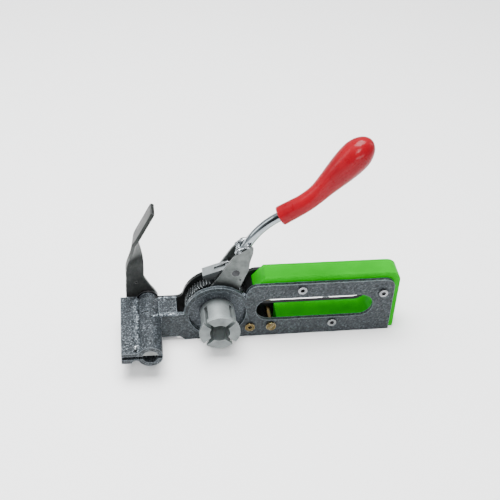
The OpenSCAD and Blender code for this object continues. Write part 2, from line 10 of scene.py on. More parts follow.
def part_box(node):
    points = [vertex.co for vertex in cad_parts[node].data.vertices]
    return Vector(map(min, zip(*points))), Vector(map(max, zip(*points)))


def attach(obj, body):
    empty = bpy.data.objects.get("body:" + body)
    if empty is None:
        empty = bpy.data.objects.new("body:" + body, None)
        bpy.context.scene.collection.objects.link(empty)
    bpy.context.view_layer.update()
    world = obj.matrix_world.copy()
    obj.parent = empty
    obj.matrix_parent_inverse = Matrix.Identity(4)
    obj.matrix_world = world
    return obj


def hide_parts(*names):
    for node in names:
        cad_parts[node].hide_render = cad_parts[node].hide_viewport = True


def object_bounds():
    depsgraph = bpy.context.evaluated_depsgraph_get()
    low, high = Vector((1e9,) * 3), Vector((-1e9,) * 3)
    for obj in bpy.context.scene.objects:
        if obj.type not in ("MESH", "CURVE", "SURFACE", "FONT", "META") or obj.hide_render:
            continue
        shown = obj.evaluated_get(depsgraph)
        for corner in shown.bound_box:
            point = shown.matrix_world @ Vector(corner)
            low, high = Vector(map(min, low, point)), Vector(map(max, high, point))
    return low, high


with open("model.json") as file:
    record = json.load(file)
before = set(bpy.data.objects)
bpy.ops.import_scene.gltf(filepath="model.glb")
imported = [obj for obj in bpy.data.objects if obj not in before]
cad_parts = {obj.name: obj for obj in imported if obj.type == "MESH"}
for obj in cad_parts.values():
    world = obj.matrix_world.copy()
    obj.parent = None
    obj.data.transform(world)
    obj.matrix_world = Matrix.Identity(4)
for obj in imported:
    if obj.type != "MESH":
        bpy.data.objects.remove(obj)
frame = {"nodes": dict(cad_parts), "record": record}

cad_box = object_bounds()
MM = 0.001
# how close two points are to count as one: in a CAD node, and where two bevels meet
SAME_POINT = 0.002 * MM
SAME_BEVEL_POINT = 0.0005 * MM
UP = Vector((0, 0, 1))
ALONG_Y = Vector((0, 1, 0))
BODY_OF = {node: body for body, nodes in frame["record"]["behaviour"]["bodies"].items() for node in nodes}
SLOT_OF = {part["node"]: part["material_slot"] for part in frame["record"]["subparts"]}


# ---------------------------------------------------------------- places read from the frame

def low(node):
    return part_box(node)[0]


def high(node):
    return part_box(node)[1]


def middle(node):
    return (low(node) + high(node)) / 2


def mm(x, y, z):
    return Vector((x, y, z)) * MM


# ---------------------------------------------------------------- mesh helpers

def smooth(t):
    t = max(0.0, min(1.0, t))
    return t * t * (3 - 2 * t)


def between(t, stops):
    """Value at t on the straight lines through (place, value) stops."""
    for (a, start), (b, end) in zip(stops, stops[1:]):
        if t <= b:
            return start + (end - start) * max(0.0, (t - a) / (b - a))
    return stops[-1][1]


def piece_from(bm, name, material, body, stands_for=(), keep_flat=True):
    """Turns a bmesh into a smooth-shaded piece that rides on a body."""
    bmesh.ops.recalc_face_normals(bm, faces=bm.faces)
    mesh = bpy.data.meshes.new(name)
    bm.to_mesh(mesh)
    bm.free()
    mesh.shade_smooth()
    mesh.materials.append(material)
    piece = bpy.data.objects.new(name, mesh)
    bpy.context.collection.objects.link(piece)
    if keep_flat:
        shading = piece.modifiers.new("even_shading", "WEIGHTED_NORMAL")
        shading.keep_sharp = True
    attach(piece, body)
    if stands_for:
        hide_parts(*stands_for)
    return piece


def softened(node, material, edge, segments=3, flatter_than=0.3, sharper_than=28):
    """Stands for a CAD node: the same solid with its sharp edges rounded by edge millimetres.

    Faces that meet at under flatter_than degrees are joined, and edges over sharper_than are rounded.
    """
    bm = bmesh.new()
    bm.from_mesh(frame["nodes"][node].data)
    bmesh.ops.remove_doubles(bm, verts=bm.verts, dist=SAME_POINT)
    bmesh.ops.dissolve_limit(bm, angle_limit=math.radians(flatter_than), verts=bm.verts, edges=bm.edges)
    sharp = [e for e in bm.edges if e.is_manifold and e.calc_face_angle() > math.radians(sharper_than)]
    bmesh.ops.bevel(bm, geom=sharp, offset=edge * MM, offset_type="OFFSET", segments=segments,
                    profile=0.5, affect="EDGES", clamp_overlap=True, loop_slide=True)
    bmesh.ops.remove_doubles(bm, verts=bm.verts, dist=SAME_BEVEL_POINT)
    return piece_from(bm, node + "_part", material, BODY_OF[node], [node])


def skin(rings):
    """Closed bmesh through rings of points; a ring of one point is a tip."""
    bm = bmesh.new()
    made = [[bm.verts.new(point) for point in ring] for ring in rings]
    for near, far in zip(made, made[1:]):
        for i in range(max(len(near), len(far))):
            ahead = i + 1
            corners = [near[i % len(near)], near[ahead % len(near)], far[ahead % len(far)], far[i % len(far)]]
            bm.faces.new(list(dict.fromkeys(corners)))
    for ring in (made[0], made[-1]):
        if len(ring) > 2:
            bm.faces.new(ring)
    return bm


def round_ring(point, along, radius, sides, side_way=ALONG_Y):
    """Ring of points round a centre line; along is never parallel to side_way."""
    across = along.cross(side_way).normalized()
    up = across.cross(along).normalized()
    return [point + radius * (math.cos(a) * across + math.sin(a) * up)
            for a in (2 * math.pi * k / sides for k in range(sides))]


def heading_at(points, i):
    """Direction of a polyline at its point i."""
    return points[min(i + 1, len(points) - 1)] - points[max(i - 1, 0)]


def tube(points, radius, sides, side_way=ALONG_Y):
    """Closed bmesh of a round bar along a polyline."""
    return skin([round_ring(point, heading_at(points, i), radius, sides, side_way)
                 for i, point in enumerate(points)])


def resampled(points, step, softenings=4):
    """Points every step along a polyline through given points, rounded at its corners."""
    lengths = [0.0]
    for a, b in zip(points, points[1:]):
        lengths.append(lengths[-1] + (b - a).length)
    count = max(3, round(lengths[-1] / step))
    path = []
    for k in range(count + 1):
        at = lengths[-1] * k / count
        i = max(j for j in range(len(lengths) - 1) if lengths[j] <= at + 1e-12)
        path.append(points[i].lerp(points[i + 1], (at - lengths[i]) / (lengths[i + 1] - lengths[i])))
    for _ in range(softenings):
        path = [path[0]] + [(a + 2 * b + c) / 4 for a, b, c in zip(path, path[1:], path[2:])] + [path[-1]]
    return path


# a weld bead's section and steps, its body, ripples and blunt ends, and its pitches, which are in radii
BEAD_SIDES = 14
BEAD_STEPS_PER_RADIUS = 5
BEAD_BODY = 0.9
BEAD_RIPPLE = 0.10
BEAD_BLUNTNESS = 6
BEAD_END_AREA = 0.03
BEAD_RIPPLE_PITCH = 1.3
BEAD_LUMP_PITCH = 2.4
BEAD_CRUST_PITCH = 1.1


def weld_bead(name, points, radius, seed, body, slot, material, side_way=UP, lumps=0.28, crust=0.22):
    """A laid weld, radius in mm: a bead with overlapping ripples and lumps, tapered at its ends."""
    radius *= MM
    path = resampled(points, radius / BEAD_STEPS_PER_RADIUS)
    place = Vector((seed, 0, 0))
    grain = BEAD_CRUST_PITCH * radius
    rings = []
    travelled = 0.0
    for i, point in enumerate(path):
        if i:
            travelled += (point - path[i - 1]).length
        t = i / (len(path) - 1)
        taper = math.sqrt(max(BEAD_END_AREA, 1 - abs(2 * t - 1) ** BEAD_BLUNTNESS))
        wave = BEAD_RIPPLE * abs(math.sin(math.pi * travelled / (BEAD_RIPPLE_PITCH * radius)))
        swell = lumps * noise.noise(Vector((seed, travelled / (BEAD_LUMP_PITCH * radius), 0)))
        size = radius * taper * (BEAD_BODY + wave + swell)
        ring = round_ring(point, heading_at(path, i), size, BEAD_SIDES, side_way)
        rings.append([p + (p - point) * crust * noise.noise(p / grain + place) for p in ring])
    return piece_from(skin(rings), name, material, body, keep_flat=False)


def drill(piece, start, end, radius, sides=32):
    """Bores a round hole, radius in mm, through a piece from one point to another."""
    bit_bm = tube([start, end], radius * MM, sides, UP)
    bmesh.ops.recalc_face_normals(bit_bm, faces=bit_bm.faces)
    bit_mesh = bpy.data.meshes.new("bit")
    bit_bm.to_mesh(bit_mesh)
    bit_bm.free()
    bit, work = (bpy.data.objects.new(name, mesh) for name, mesh in (("bit", bit_mesh), ("work", piece.data)))
    for helper in (bit, work):
        bpy.context.collection.objects.link(helper)
    cut = work.modifiers.new("bore", "BOOLEAN")
    cut.operation = "DIFFERENCE"
    cut.solver = "EXACT"
    cut.object = bit
    bpy.context.view_layer.update()
    bored = bpy.data.meshes.new_from_object(work.evaluated_get(bpy.context.evaluated_depsgraph_get()))
    for helper in (work, bit):
        bpy.data.objects.remove(helper)
    bored.name = piece.name + "_bored"
    bored.set_sharp_from_angle(angle=math.radians(50))
    piece.data = bored


# ---------------------------------------------------------------- shader helpers

class Shader:
    """A procedural material under construction: short names for the nodes that it needs."""

    def __init__(self, name, **settings):
        self.material = bpy.data.materials.new(name)
        self.material.use_nodes = True
        self.tree = self.material.node_tree
        self.surface = self.tree.nodes["Principled BSDF"]
        self.place = self.add("ShaderNodeTexCoord").outputs["Object"]
        for socket, value in settings.items():
            self.surface.inputs[socket.replace("_", " ")].default_value = value

    def add(self, kind, **settings):
        made = self.tree.nodes.new(kind)
        for key, value in settings.items():
            setattr(made, key, value)
        return made

    def feed(self, node, **inputs):
        for key, value in inputs.items():
            socket = node.inputs[int(key[1:])] if key[0] == "i" and key[1:].isdigit() else node.inputs[key]
            if isinstance(value, bpy.types.NodeSocket):
                self.tree.links.new(value, socket)
            else:
                socket.default_value = value
        return node

    def stretched(self, scale, centre=(0, 0, 0)):
        mapping = self.add("ShaderNodeMapping", vector_type="POINT")
        self.feed(mapping, Vector=self.place, Scale=scale)
        mapping.inputs["Location"].default_value = tuple(-c * s for c, s in zip(centre, scale))
        return mapping.outputs["Vector"]

    def noise(self, scale, detail=3.0, rough=0.5, vector=None):
        made = self.feed(self.add("ShaderNodeTexNoise"), Vector=vector or self.place, Scale=scale,
                         Detail=detail, Roughness=rough)
        return made.outputs["Fac"]

    def cells(self, scale):
        """Distance from the middles of rounded cells."""
        made = self.add("ShaderNodeTexVoronoi", feature="SMOOTH_F1")
        return self.feed(made, Vector=self.place, Scale=scale).outputs["Distance"]

    def maths(self, operation, a, b=0.0):
        return self.feed(self.add("ShaderNodeMath", operation=operation), i0=a, i1=b).outputs[0]

    def share(self, value, part):
        return self.maths("MULTIPLY", value, part)

    def span(self, value, low, high, to_low=0.0, to_high=1.0):
        """Value stretched from low..high to to_low..to_high, and held at those ends."""
        made = self.feed(self.add("ShaderNodeMapRange"), Value=value)
        for key, number in zip(("From Min", "From Max", "To Min", "To Max"), (low, high, to_low, to_high)):
            made.inputs[key].default_value = number
        return made.outputs["Result"]

    def blend(self, factor, a, b):
        """Colour a where factor is 0, and b where it is 1."""
        made = self.add("ShaderNodeMix", data_type="RGBA")
        self.feed(made, i0=factor)
        for socket, value in zip([s for s in made.inputs if s.type == "RGBA"], (a, b)):
            if isinstance(value, bpy.types.NodeSocket):
                self.tree.links.new(value, socket)
            else:
                socket.default_value = (*value, 1)
        return [s for s in made.outputs if s.type == "RGBA"][0]

    def parts_of(self, vector):
        return self.feed(self.add("ShaderNodeSeparateXYZ"), Vector=vector).outputs

    def rings_about(self, centre):
        """Distance from a Y axis and place along it, for lathe marks."""
        parts = self.parts_of(self.stretched((1, 1, 1), centre))
        radius = self.maths("SQRT", self.maths("ADD", self.maths("MULTIPLY", parts[0], parts[0]),
                                               self.maths("MULTIPLY", parts[2], parts[2])))
        return self.feed(self.add("ShaderNodeCombineXYZ"), X=radius, Y=parts[1]).outputs[0]

    def edge_wear_and_highlight(self, width=0.0006):
        """Mask that is 1 on convex edges and 0 on flats, for lightening edges: rubbed wear and painted
        highlight.
        """
        bevel = self.feed(self.add("ShaderNodeBevel", samples=6), Radius=width)
        flat = self.add("ShaderNodeNewGeometry").outputs["Normal"]
        dot = self.add("ShaderNodeVectorMath", operation="DOT_PRODUCT")
        self.feed(dot, i0=bevel.outputs[0], i1=flat)
        return self.span(dot.outputs["Value"], 0.995, 0.90)

    def painted_recess_shade(self, distance, floor=0.0):
        """Mask for painted shade: 1 where a surface is open, falling to floor deep inside recesses."""
        open_sky = self.add("ShaderNodeAmbientOcclusion", samples=6)
        open_sky.inputs["Distance"].default_value = distance
        return self.span(open_sky.outputs["AO"], 0.15, 0.75, floor, 1.0)

    def y_face_darkening(self, amount):
        """Rises to amount on faces square to Y, for darkening them."""
        normal = self.add("ShaderNodeNewGeometry").outputs["Normal"]
        return self.span(self.maths("ABSOLUTE", self.parts_of(normal)["Y"]), 0.7, 0.95, 0.0, amount)

    def finish(self, color, rough=None, height=None, depth=0.0, strength=1.0):
        """Wires colour, roughness and bump to the surface, and returns the material."""
        self.feed(self.surface, **{"Base Color": color})
        if rough is not None:
            self.feed(self.surface, Roughness=rough)
        if height is not None:
            bump = self.feed(self.add("ShaderNodeBump"), Height=height, Distance=depth, Strength=strength)
            self.feed(self.surface, Normal=bump.outputs["Normal"])
        return self.material


# ---------------------------------------------------------------- materials

def tinted(color, tint):
    return [c * t for c, t in zip(color, tint)]


def brighter(color, gain, lift):
    return [c * gain + lift for c in color]


# near black for painted shade
PAINTED_SHADE_BLACK = (0.006, 0.007, 0.008)


def hammertone(name, fleck=1.0, tint=(1.0, 1.0, 1.0), depth=0.00034):
    """Charcoal hammer-finish enamel: domed cells with metal flake, dark seams between them."""
    s = Shader(name, Metallic=0.35, IOR=1.45, Specular_IOR_Level=0.32)
    seam = s.span(s.maths("ADD", s.cells(680), s.share(s.noise(420, 2.0), 0.35)), 0.38, 0.92)
    fine = s.noise(820, 3.0, 0.65)
    flake = s.span(fine, 0.54, 0.64)
    patch = s.span(s.noise(80, 4.0), 0.3, 0.7)
    dome = tinted((0.033, 0.040, 0.046), tint)
    gap = tinted((0.008, 0.010, 0.012), tint)
    bright = tinted((0.33, 0.38, 0.42), tint)
    color = s.blend(seam, dome, gap)
    color = s.blend(s.share(flake, 0.5 * fleck), color, bright)
    color = s.blend(s.share(patch, 0.35), color, gap)
    # painted highlight along the edges
    color = s.blend(s.share(s.edge_wear_and_highlight(0.0007), 0.55), color, bright)
    # painted shade, near black, deep in recesses
    color = s.blend(s.painted_recess_shade(0.003, 0.8), (0.004, 0.005, 0.006), color)
    # painted shade on faces square to Y, at the front and back
    color = s.blend(s.y_face_darkening(0.35), color, gap)
    rough = s.span(s.maths("ADD", seam, s.noise(700)), 0.3, 1.4, 0.24, 0.50)
    return s.finish(color, rough, s.maths("SUBTRACT", s.share(fine, 0.9), seam), depth, 0.9)


def black_enamel(name):
    """Black stoved enamel with a faint orange peel and dusty patches."""
    s = Shader(name, IOR=1.45, Specular_IOR_Level=0.22)
    peel = s.noise(1300, 2.0)
    dust = s.span(s.noise(240, 5.0), 0.42, 0.75)
    color = s.blend(dust, (0.0035, 0.004, 0.0045), (0.011, 0.012, 0.013))
    # lighter edges: rubbed wear and painted highlight
    color = s.blend(s.share(s.edge_wear_and_highlight(0.0004), 0.5), color, (0.03, 0.033, 0.036))
    return s.finish(color, s.span(peel, 0.3, 0.7, 0.36, 0.56), peel, 0.00006, 0.6)


def moulded_plastic(name, color):
    """Smooth moulded plastic with faint flow marks and a fine grain."""
    s = Shader(name, IOR=1.45, Specular_IOR_Level=0.05, Subsurface_Weight=0.08, Subsurface_Scale=0.002)
    s.surface.inputs["Subsurface Radius"].default_value = (0.2, 1.0, 0.2)
    shade = s.span(s.noise(60, 3.0), 0.3, 0.7)
    texture = s.maths("ADD", s.noise(260, 4.0), s.noise(3200, 2.0))
    rough = s.span(texture, 0.6, 1.4, 0.34, 0.50)
    return s.finish(s.blend(shade, color, brighter(color, 0.82, 0)), rough, texture, 0.00004, 0.6)


def dipped_vinyl(name, color):
    """Glossy vinyl that the grip was dipped in, with slow waves left by the dip."""
    s = Shader(name, IOR=1.45, Specular_IOR_Level=0.10, Coat_Weight=0.14, Coat_Roughness=0.10,
               Subsurface_Weight=0.08, Subsurface_Scale=0.003)
    s.surface.inputs["Subsurface Radius"].default_value = (1.0, 0.15, 0.1)
    wave = s.noise(42, 2.0)
    peel = s.noise(260, 1.0)
    tone = s.blend(s.span(wave, 0.3, 0.75), color, brighter(color, 0.72, 0))
    height = s.maths("ADD", s.share(wave, 3.0), s.share(peel, 0.06))
    return s.finish(tone, s.span(peel, 0.3, 0.7, 0.26, 0.38), height, 0.00010, 0.4)


def chromed(name):
    """Bright plating with faint smears and draw marks along the rod."""
    s = Shader(name, Metallic=1.0)
    smear = s.span(s.noise(140, 4.0), 0.35, 0.75)
    draw = s.noise(900, 2.0, vector=s.stretched((0.25, 1.0, 0.4)))
    color = s.blend(smear, (0.30, 0.33, 0.35), (0.21, 0.235, 0.25))
    rough = s.span(s.maths("ADD", smear, draw), 0.3, 1.6, 0.06, 0.15)
    return s.finish(color, rough, draw, 0.000012, 0.4)


def turned_steel(name, centre, color, dull, rough=(0.26, 0.44), end_share=1.0, reach=0.005, deep=0.35,
                 metallic=1.0):
    """Lathe-turned metal with fine tool marks round its axis, lighter edges for rubbed wear and painted
    highlight, painted shade in recesses within reach, down to deep, and darker faces square to Y by 1 -
    end_share.
    """
    s = Shader(name, Metallic=metallic, Anisotropic=0.1)
    rings = s.rings_about(centre)
    marks = s.noise(5200, 2.0, 0.6, rings)
    bands = s.noise(900, 3.0, 0.6, rings)
    smear = s.span(s.noise(150, 5.0), 0.35, 0.68)
    tone = s.blend(s.share(smear, 0.9), color, dull)
    # lighter edges: rubbed wear and painted highlight
    tone = s.blend(s.share(s.edge_wear_and_highlight(0.0004), 0.5), tone, brighter(color, 1.9, 0.05))
    # painted shade in recesses
    tone = s.blend(s.painted_recess_shade(reach, deep), (0.012, 0.014, 0.015), tone)
    # darker faces square to Y: duller cut ends and painted shade
    tone = s.blend(s.y_face_darkening(1.0 - end_share), tone, (0.02, 0.022, 0.022))
    rough = s.span(s.maths("ADD", bands, smear), 0.4, 1.5, *rough)
    return s.finish(tone, rough, s.maths("ADD", marks, bands), 0.00003, 0.6)


def plated_steel(name, color, dull, rough=(0.28, 0.46), scratch=1.0, painted_end_shade=0.0):
    """Zinc-plated or ground sheet steel: cloudy plating, fine scratches, edges lightened for rubbed wear and
    painted highlight, painted shade in recesses and, by painted_end_shade, on faces square to Y.
    """
    s = Shader(name, Metallic=0.95)
    cloud = s.span(s.noise(170, 5.0, 0.6), 0.32, 0.7)
    speck = s.span(s.noise(1900, 3.0), 0.45, 0.8)
    lines = s.noise(1500, 3.0, 0.7, s.stretched((0.12, 1.0, 1.0)))
    tone = s.blend(s.maths("MAXIMUM", cloud, s.share(speck, 0.6)), color, dull)
    # lighter edges: rubbed wear and painted highlight
    tone = s.blend(s.share(s.edge_wear_and_highlight(0.0004), 0.6), tone, brighter(color, 1.8, 0.04))
    # painted shade in recesses
    tone = s.blend(s.painted_recess_shade(0.0025, 0.08), PAINTED_SHADE_BLACK, tone)
    # painted shade on faces square to Y
    tone = s.blend(s.y_face_darkening(painted_end_shade), tone, PAINTED_SHADE_BLACK)
    rough = s.span(s.maths("ADD", cloud, lines), 0.4, 1.6, *rough)
    height = s.maths("ADD", s.share(lines, 0.7 * scratch), s.share(speck, 0.4))
    return s.finish(tone, rough, height, 0.00003, 0.6)


def blackened_steel(name):
    """Oil-blackened bar: dark oxide with a soft sheen, darkest at the paddle, greyer on its edges, where it
    is rubbed and where a painted highlight falls.
    """
    s = Shader(name, Metallic=0.8)
    cloud = s.span(s.noise(110, 5.0, 0.6), 0.3, 0.72)
    grain = s.noise(1700, 3.0, 0.6, s.stretched((1.0, 1.0, 0.22)))
    paddle = s.span(s.parts_of(s.place)["Z"], 0.050, 0.058, 0.0, 0.80)
    tone = s.blend(cloud, (0.085, 0.090, 0.088), (0.032, 0.035, 0.034))
    tone = s.blend(s.share(s.span(grain, 0.5, 0.75), 0.45), tone, (0.10, 0.104, 0.10))
    tone = s.blend(paddle, tone, (0.010, 0.011, 0.0105))
    # lighter edges: rubbed wear and painted highlight
    tone = s.blend(s.share(s.edge_wear_and_highlight(0.0005), 0.75), tone, (0.22, 0.23, 0.23))
    rough = s.span(s.maths("ADD", cloud, grain), 0.5, 1.5, 0.32, 0.48)
    return s.finish(tone, rough, grain, 0.00004, 0.6)


def yellow_zinc(name):
    """Yellow-passivated plating, with a faint pink and green play of colour."""
    s = Shader(name, Metallic=1.0)
    hue = s.span(s.noise(420, 3.0), 0.35, 0.65)
    dirt = s.span(s.noise(900, 4.0), 0.5, 0.75)
    tone = s.blend(hue, (0.20, 0.14, 0.048), (0.14, 0.113, 0.062))
    tone = s.blend(s.share(dirt, 0.8), tone, (0.05, 0.035, 0.015))
    # darker on faces square to Y
    tone = s.blend(s.y_face_darkening(0.55), tone, (0.030, 0.022, 0.010))
    # painted highlight on the edges, with rubbed wear
    tone = s.blend(s.share(s.edge_wear_and_highlight(0.0005), 0.8), tone, (0.85, 0.72, 0.46))
    # painted shade in recesses
    tone = s.blend(s.painted_recess_shade(0.006, 0.10), (0.012, 0.008, 0.004), tone)
    return s.finish(tone, s.span(dirt, 0.0, 1.0, 0.22, 0.42), s.noise(2500, 2.0), 0.00002, 0.5)


def weld_metal(name, color, dull):
    """Bare weld: bright frozen metal, pitted and spattered."""
    s = Shader(name, Metallic=0.9)
    spatter = s.noise(520, 3.0, 0.55)
    tone = s.blend(s.span(spatter, 0.38, 0.62), color, dull)
    rough = s.span(spatter, 0.3, 0.7, 0.12, 0.30)
    return s.finish(tone, rough, s.maths("ADD", spatter, s.cells(600)), 0.00014, 0.5)


def materials():
    """Every material by name; most names are the record's material slots."""
    cutter_axis = middle("cutter_washer")
    axis = (0, 0, 0)
    return {
        "frame_paint": hammertone("hammertone_enamel"),
        "plate_paint": hammertone("hammertone_side_plate", 0.42, (1.12, 1.16, 1.14), 0.00026),
        # a lighter copy of the frame enamel, which paints light onto the disc in its recess
        "disc_paint": hammertone("hammertone_disc", 0.7, (1.6, 1.6, 1.6), 0.00014),
        # lighter copies of the frame enamel with more flake, which paint the welds' highlights
        "paint_on_weld": hammertone("hammertone_on_weld", 1.65, (2.6, 2.6, 2.6)),
        "paint_on_foot_weld": hammertone("hammertone_on_foot_weld", 1.35, (1.7, 1.7, 1.7), 0.0003),
        "rear_enamel": black_enamel("black_rear_enamel"),
        "grip_plastic": moulded_plastic("green_plastic", (0.0, 0.31, 0.0005)),
        "red_grip": dipped_vinyl("red_vinyl", (0.235, 0.0012, 0.0075)),
        "rod_chrome": chromed("rod_chrome"),
        "bronze": turned_steel("oiled_bronze", axis, (0.30, 0.17, 0.07), (0.16, 0.09, 0.04)),
        # painted shade: near black deep in its slots and recesses, and darker on its end faces, which are
        # also duller as cut faces
        "windlass_steel": turned_steel("turned_windlass_steel", axis, (0.37, 0.41, 0.41),
                                       (0.22, 0.245, 0.245), rough=(0.32, 0.50), end_share=0.34,
                                       reach=0.0042, deep=0.06, metallic=0.76),
        "cutter_bright": turned_steel("turned_cutter_steel", cutter_axis, (0.40, 0.42, 0.42),
                                      (0.24, 0.25, 0.25), end_share=0.4),
        "gear_steel": turned_steel("gear_steel", axis, (0.33, 0.35, 0.36), (0.12, 0.13, 0.135),
                                   rough=(0.20, 0.34), reach=0.0016),
        "dark_steel": plated_steel("oiled_dark_steel", (0.060, 0.062, 0.065), (0.025, 0.026, 0.028)),
        "zinc_steel": plated_steel("bright_zinc", (0.25, 0.26, 0.27), (0.14, 0.145, 0.15), (0.20, 0.34), 0.4),
        "yoke_zinc": plated_steel("satin_yoke_zinc", (0.125, 0.136, 0.133), (0.072, 0.080, 0.078),
                                  (0.34, 0.50)),
        # painted shade on the pawl's front and back faces
        "pawl_steel": plated_steel("ground_pawl_steel", (0.46, 0.50, 0.51), (0.26, 0.28, 0.285), (0.26, 0.42),
                                   painted_end_shade=0.85),
        "spring_steel": plated_steel("spring_wire", (0.30, 0.31, 0.32), (0.14, 0.145, 0.15), (0.22, 0.36)),
        "yellow_zinc": yellow_zinc("yellow_zinc"),
        "black_steel": blackened_steel("blackened_lever_steel"),
        "bright_weld": weld_metal("bright_weld", (0.36, 0.39, 0.41), (0.055, 0.062, 0.066)),
    }


# ---------------------------------------------------------------- pieces made from CAD nodes

# how far each node's sharp edges are rounded, in millimetres
EDGES = {
    "front_side_plate": 0.35, "rear_side_plate": 0.35, "arm_web": 0.4, "handle_body": 1.1,
    "front_bearing_plate": 0.25, "front_bush": 0.15, "rear_bearing_ring": 0.5, "rear_bush": 0.2,
    "nose_foot": 0.4, "cutter_barrel": 0.35, "windlass": 0.3, "ratchet_gear": 0.12, "gear_key": 0.2,
    "windlass_washer": 0.2, "windlass_clip": 0.2, "yoke_front_cheek": 0.25, "yoke_rear_cheek": 0.25,
    "yoke_bridge": 0.3, "drive_pawl": 0.25, "drive_pawl_pin": 0.25, "holding_pawl": 0.25,
    "holding_pawl_screw": 0.5, "holding_pawl_spacers": 0.2, "spring_post_screw": 0.45, "handle_screws": 0.3,
    "cutter_shaft": 0.25, "cutter_retainer": 0.2, "cutter_collar": 0.25, "cutter_washer": 0.2,
    "cutter_screw": 0.3,
}
# nodes that don't look like the rest of their material slot
OWN_MATERIAL = {
    "front_side_plate": "plate_paint", "rear_side_plate": "rear_enamel", "front_bearing_plate": "disc_paint",
    "cutter_shaft": "cutter_bright", "cutter_retainer": "dark_steel", "ratchet_gear": "gear_steel",
}


def cad_pieces(made):
    for node, edge in EDGES.items():
        softened(node, made[OWN_MATERIAL.get(node, SLOT_OF[node])], edge)


# ---------------------------------------------------------------- lever rod and grip

# the rod's centre line in X and Z, in millimetres, and its runs as (length, degrees that it turns)
ROD_START = Vector((18, 48))
ROD_HEADING = 62
ROD_RUNS = [(10, 0), (math.radians(30) * 56, -30), (16, 0), (math.radians(20) * 60, 20), (42.5, 0)]
ROD_LENGTH = sum(length for length, turn in ROD_RUNS)
ROD_RADIUS = 3.5
ROD_STEP = 0.8
ROD_SIDES = 48
GRIP_FROM = ROD_RUNS[0][0] + ROD_RUNS[1][0] + 1.5
GRIP_LENGTH = ROD_LENGTH + 7 - GRIP_FROM


def rod_at(s):
    """Point and direction of the rod's centre line s millimetres from its start."""
    point, heading = ROD_START.copy(), math.radians(ROD_HEADING)
    for i, (length, turn) in enumerate(ROD_RUNS):
        part = s if i == len(ROD_RUNS) - 1 else min(s, length)
        turned = math.radians(turn) * part / length
        if turn:
            bend = length / math.radians(turn)
            after = heading + turned
            point += bend * Vector((math.sin(after) - math.sin(heading), math.cos(heading) - math.cos(after)))
        else:
            point += part * Vector((math.cos(heading), math.sin(heading)))
        heading += turned
        s -= part
        if s <= 0:
            break
    y = middle("lever_rod").y / MM
    return mm(point.x, y, point.y), Vector((math.cos(heading), 0, math.sin(heading)))


def rod_ring(s, radius, sides):
    point, along = rod_at(s)
    return round_ring(point, along, radius * MM, sides)


def lever_rod(made):
    chamfer = 0.5
    stops = [(0, ROD_RADIUS - chamfer), (chamfer, ROD_RADIUS)]
    stops += [(ROD_STEP * k, ROD_RADIUS) for k in range(1, int(ROD_LENGTH / ROD_STEP))]
    stops += [(ROD_LENGTH - chamfer, ROD_RADIUS), (ROD_LENGTH, ROD_RADIUS - chamfer)]
    bm = skin([rod_ring(s, r, ROD_SIDES) for s, r in stops])
    piece_from(bm, "lever_rod_bar", made["rod_chrome"], "lever", ["lever_rod"])


# the grip's stretches, as fractions of its length
SLEEVE_END = 0.25
SWELL_FROM = 0.32
DOME_FROM = 0.8


def grip_radius(t):
    """Outer radius of the grip at fraction t of its length: a sleeve, a waist and a bulb with a domed end."""
    sleeve, waist, bulb = 7.1, 6.7, 10.9
    if t < SLEEVE_END:
        return sleeve + (waist - sleeve) * smooth(t / SLEEVE_END)
    if t < DOME_FROM:
        return waist + (bulb - waist) * smooth((t - SWELL_FROM) / (DOME_FROM - SWELL_FROM))
    return bulb * math.sqrt(max(0.0, 1 - ((t - DOME_FROM) / (1 - DOME_FROM)) ** 2))


def lever_grip(made):
    sides, body_steps, dome_steps = 64, 60, 14
    # the rolled mouth, as (millimetres from the grip's start, radius), from the bore outwards
    mouth = [(4.0, 3.56), (1.2, 3.58), (0.5, 3.75), (0.12, 4.2), (0.0, 4.7), (0.0, 5.9), (0.12, 6.5),
             (0.45, 6.9), (1.0, 7.08)]
    first = 0.02
    places = [first + (DOME_FROM - first) * k / body_steps for k in range(body_steps + 1)]
    dome = [math.sin(math.pi / 2 * k / dome_steps) for k in range(1, dome_steps)]
    places += [DOME_FROM + (1 - DOME_FROM) * t for t in dome]
    rings = [rod_ring(GRIP_FROM + s, r, sides) for s, r in mouth]
    rings += [rod_ring(GRIP_FROM + GRIP_LENGTH * t, grip_radius(t), sides) for t in places]
    rings.append([rod_at(GRIP_FROM + GRIP_LENGTH)[0]])
    piece_from(skin(rings), "lever_grip_sleeve", made["red_grip"], "lever", ["lever_grip"],
               keep_flat=False)


# ---------------------------------------------------------------- cutter lever

BAR_WIDTH = 13.4
BAR_THICKNESS = 3.0
BAR_X = -59.4
BAR_DRIFT = 0.8
FOOT = Vector((-54.7, 0, -4))
FOOT_RADIUS = 12.1
TWIST_FROM = 17
LEAN_FROM = 51
LEAN = 27
PADDLE_LENGTH = 31
HANG_HOLE = (-58.7, 12.6, 0.9)
# the foot's two flanks, as (height, x)
LEFT_FLANK = [(-4, -66.8), (6, -66.6), (TWIST_FROM, BAR_X - BAR_WIDTH / 2)]
RIGHT_FLANK = [(-4, -42.6), (-0.6, -42.8), (4, -45.4), (9, -48.6), (TWIST_FROM, BAR_X + BAR_WIDTH / 2)]


def bar_section(width, thickness, centre, across=Vector((1, 0, 0)), through=ALONG_Y):
    """Rounded-corner section of the flat bar, as points in millimetres."""
    corner = min(0.6, width / 2 * 0.7, thickness / 2 * 0.7)
    points = []
    for quarter, (sx, sy) in enumerate(((1, 1), (-1, 1), (-1, -1), (1, -1))):
        for k in range(4):
            a = math.pi / 2 * (quarter + k / 3)
            x = sx * (width / 2 - corner) + corner * math.cos(a)
            y = sy * (thickness / 2 - corner) + corner * math.sin(a)
            points.append(centre + x * across + y * through)
    return points


